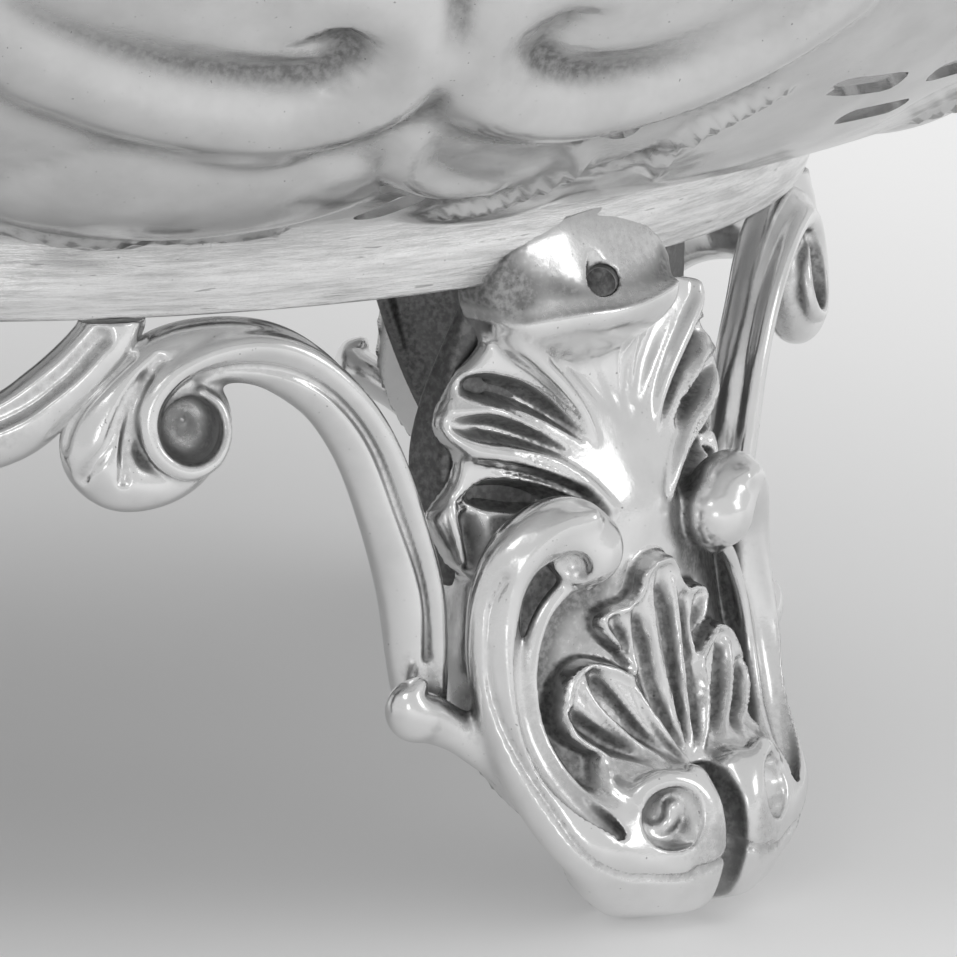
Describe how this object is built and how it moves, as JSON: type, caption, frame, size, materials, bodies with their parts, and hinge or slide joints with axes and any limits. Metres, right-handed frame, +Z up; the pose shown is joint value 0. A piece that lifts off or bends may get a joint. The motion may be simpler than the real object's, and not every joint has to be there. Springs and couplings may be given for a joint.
{
  "type": "footed basket",
  "caption": "Round silver table basket: a pierced, lobed sheet bowl on a plain foot ring, carried by cast scroll-and-shell feet braced by cast link scrolls.",
  "frame": {"origin": "on the table, under the middle of the bowl", "axes": "+Z up along the bowl's axis; the feet stand at +Y, -X, -Y and +X"},
  "size_m": [0.2774, 0.2774, 0.1197],
  "materials": {
    "polished_silver": "polished",
    "cast_silver": "polished, with dark tarnish left in the recesses",
    "shaded_silver": "satin, tarnished flanks"
  },
  "bodies": {
    "root": {"bowl": "polished_silver", "foot_ring": "polished_silver", "rim_border_1": "polished_silver", "rim_border_2": "polished_silver", "rim_border_3": "polished_silver", "rim_border_4": "polished_silver", "foot_front_1": "cast_silver", "foot_front_2": "cast_silver", "foot_front_3": "cast_silver", "foot_front_4": "cast_silver", "foot_back_1": "shaded_silver", "foot_back_2": "shaded_silver", "foot_back_3": "shaded_silver", "foot_back_4": "shaded_silver", "link_scroll_1": "cast_silver", "link_scroll_2": "cast_silver", "link_scroll_3": "cast_silver", "link_scroll_4": "cast_silver", "link_stem_1": "cast_silver", "link_stem_2": "cast_silver", "link_stem_3": "cast_silver", "link_stem_4": "cast_silver"}
  },
  "joints": []
}
